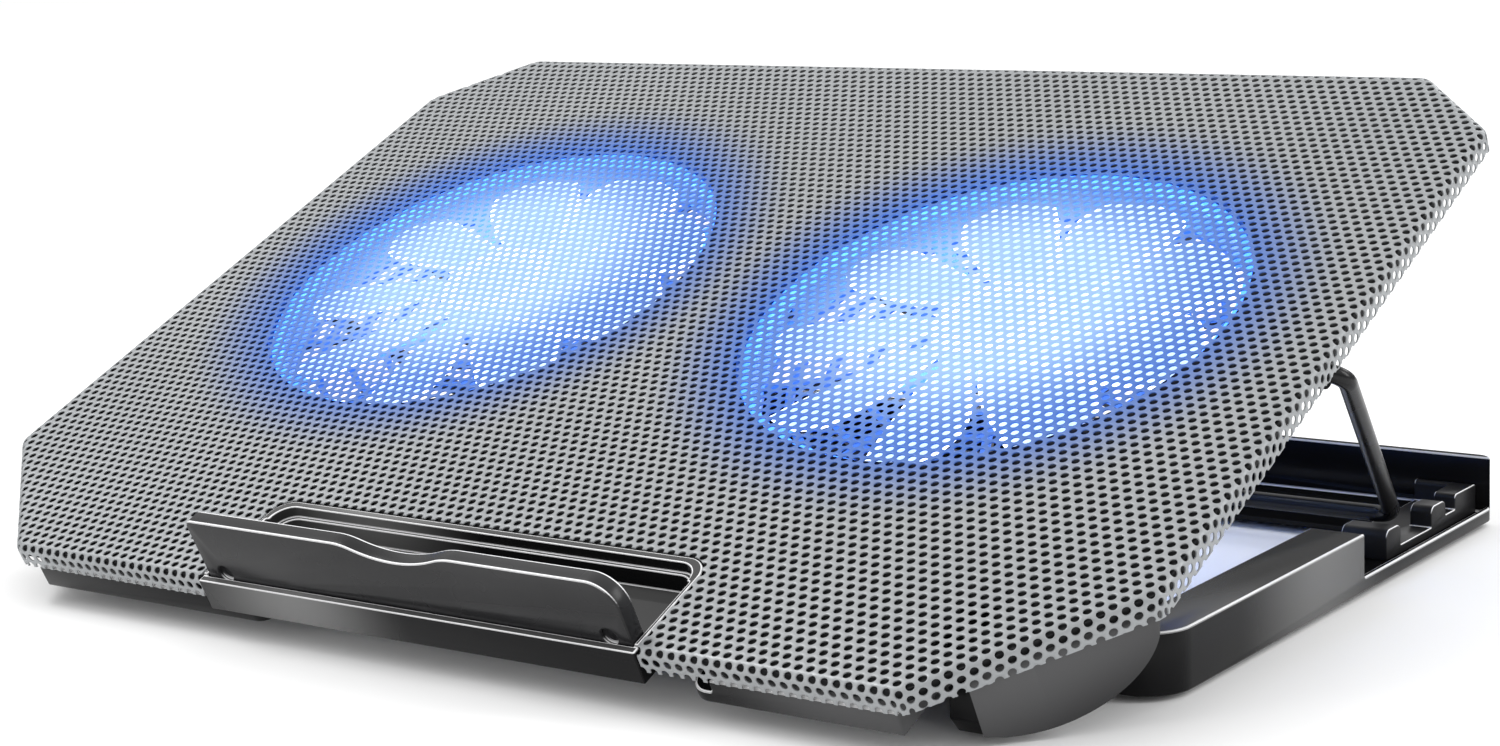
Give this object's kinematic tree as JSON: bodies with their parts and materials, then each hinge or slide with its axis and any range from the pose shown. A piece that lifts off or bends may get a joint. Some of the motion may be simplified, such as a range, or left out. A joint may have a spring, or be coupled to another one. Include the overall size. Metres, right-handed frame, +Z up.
{
  "type": "laptop cooling pad",
  "caption": "Laptop cooling pad: perforated sloping panel over lit fans, front recess with a flip-up stop, hinged on a low base ring and propped by a wire bail.",
  "frame": {"origin": "on the table, under the middle of the whole pad", "axes": "+X to the right along the width, +Y from the front stop to the back, +Z up"},
  "size_m": [0.39, 0.2712, 0.1323],
  "materials": {
    "mesh": "perforated, silver-grey, satin",
    "gloss_black": "moulded, high gloss",
    "stop_black": "moulded, semi-gloss",
    "satin_black": "moulded, satin",
    "blades": "translucent ice blue",
    "lit_ring": "translucent, lit blue from inside",
    "rod_black": "black paint, semi-gloss",
    "steel": "turned, bright",
    "socket_steel": "plated, bright",
    "windings": "enamelled copper wire, glossy",
    "magnet": "sintered, dull",
    "board": "solder mask, satin",
    "leads": "flexible sheath, satin",
    "rubber": "moulded, dull"
  },
  "bodies": {
    "base": {"base_frame": "gloss_black", "rack_left": "satin_black", "rack_right": "satin_black", "hinge_pin_left": "steel", "hinge_pin_right": "steel", "foot_pad_front_left": "rubber", "foot_pad_front_right": "rubber", "foot_pad_rear_left": "rubber", "foot_pad_rear_right": "rubber"},
    "panel": {"mesh_cover": "mesh", "bottom_shell": "satin_black", "lead_channel": "satin_black", "baffle_tray": "gloss_black", "service_cover": "satin_black", "cover_screws": "steel", "control_board": "board", "switch_body": "satin_black", "fan_leads": "leads", "front_foot_left": "gloss_black", "front_foot_right": "gloss_black", "hinge_housing_left": "gloss_black", "hinge_housing_right": "gloss_black", "fan_well_left": "satin_black", "fan_well_right": "satin_black", "bail_eye_left": "satin_black", "bail_eye_right": "satin_black", "fan_frame_left": "satin_black", "fan_frame_right": "satin_black", "stator_left": "windings", "stator_right": "windings", "led_ring_left": "lit_ring", "led_ring_right": "lit_ring", "intake_grille_left": "satin_black", "intake_grille_right": "satin_black", "usb_port_left": "socket_steel", "usb_port_right": "socket_steel"},
    "bail": {"bail_rod": "rod_black"},
    "stop": {"baffle_plate": "stop_black", "baffle_pin_left": "stop_black", "baffle_pin_right": "stop_black"},
    "rotor_left": {"rotor_left": "blades", "magnet_ring_left": "magnet", "rotor_shaft_left": "steel"},
    "rotor_right": {"rotor_right": "blades", "magnet_ring_right": "magnet", "rotor_shaft_right": "steel"},
    "switch": {"switch_knob": "satin_black"}
  },
  "joints": [
    {"name": "panel_tilt", "type": "hinge", "parent": "base", "child": "panel", "pos_m": [0, -0.10443, 0.022], "axis": [1, 0, 0], "range_deg": [-24.2, 0]},
    {"name": "bail_swing", "type": "hinge", "parent": "panel", "child": "bail", "pos_m": [0, 0.01654, 0.06689], "axis": [1, 0, 0], "range_deg": [0, 63.8]},
    {"name": "stop_fold", "type": "hinge", "parent": "panel", "child": "stop", "pos_m": [0, -0.1246, 0.01574], "axis": [1, 0, 0], "range_deg": [-88, 0]},
    {"name": "fan_spin_left", "type": "hinge", "parent": "panel", "child": "rotor_left", "pos_m": [-0.09, 0.01322, 0.0711], "axis": [0, -0.4099, 0.9121], "continuous": true},
    {"name": "fan_spin_right", "type": "hinge", "parent": "panel", "child": "rotor_right", "pos_m": [0.09, 0.01322, 0.0711], "axis": [0, -0.4099, 0.9121], "continuous": true},
    {"name": "switch_slide", "type": "slide", "parent": "panel", "child": "switch", "axis": [1, 0, 0], "range_m": [0, 0.004]}
  ],
  "couplings": [
    {"joint": "bail_swing", "follows": "panel_tilt", "ratio": -2.63}
  ]
}
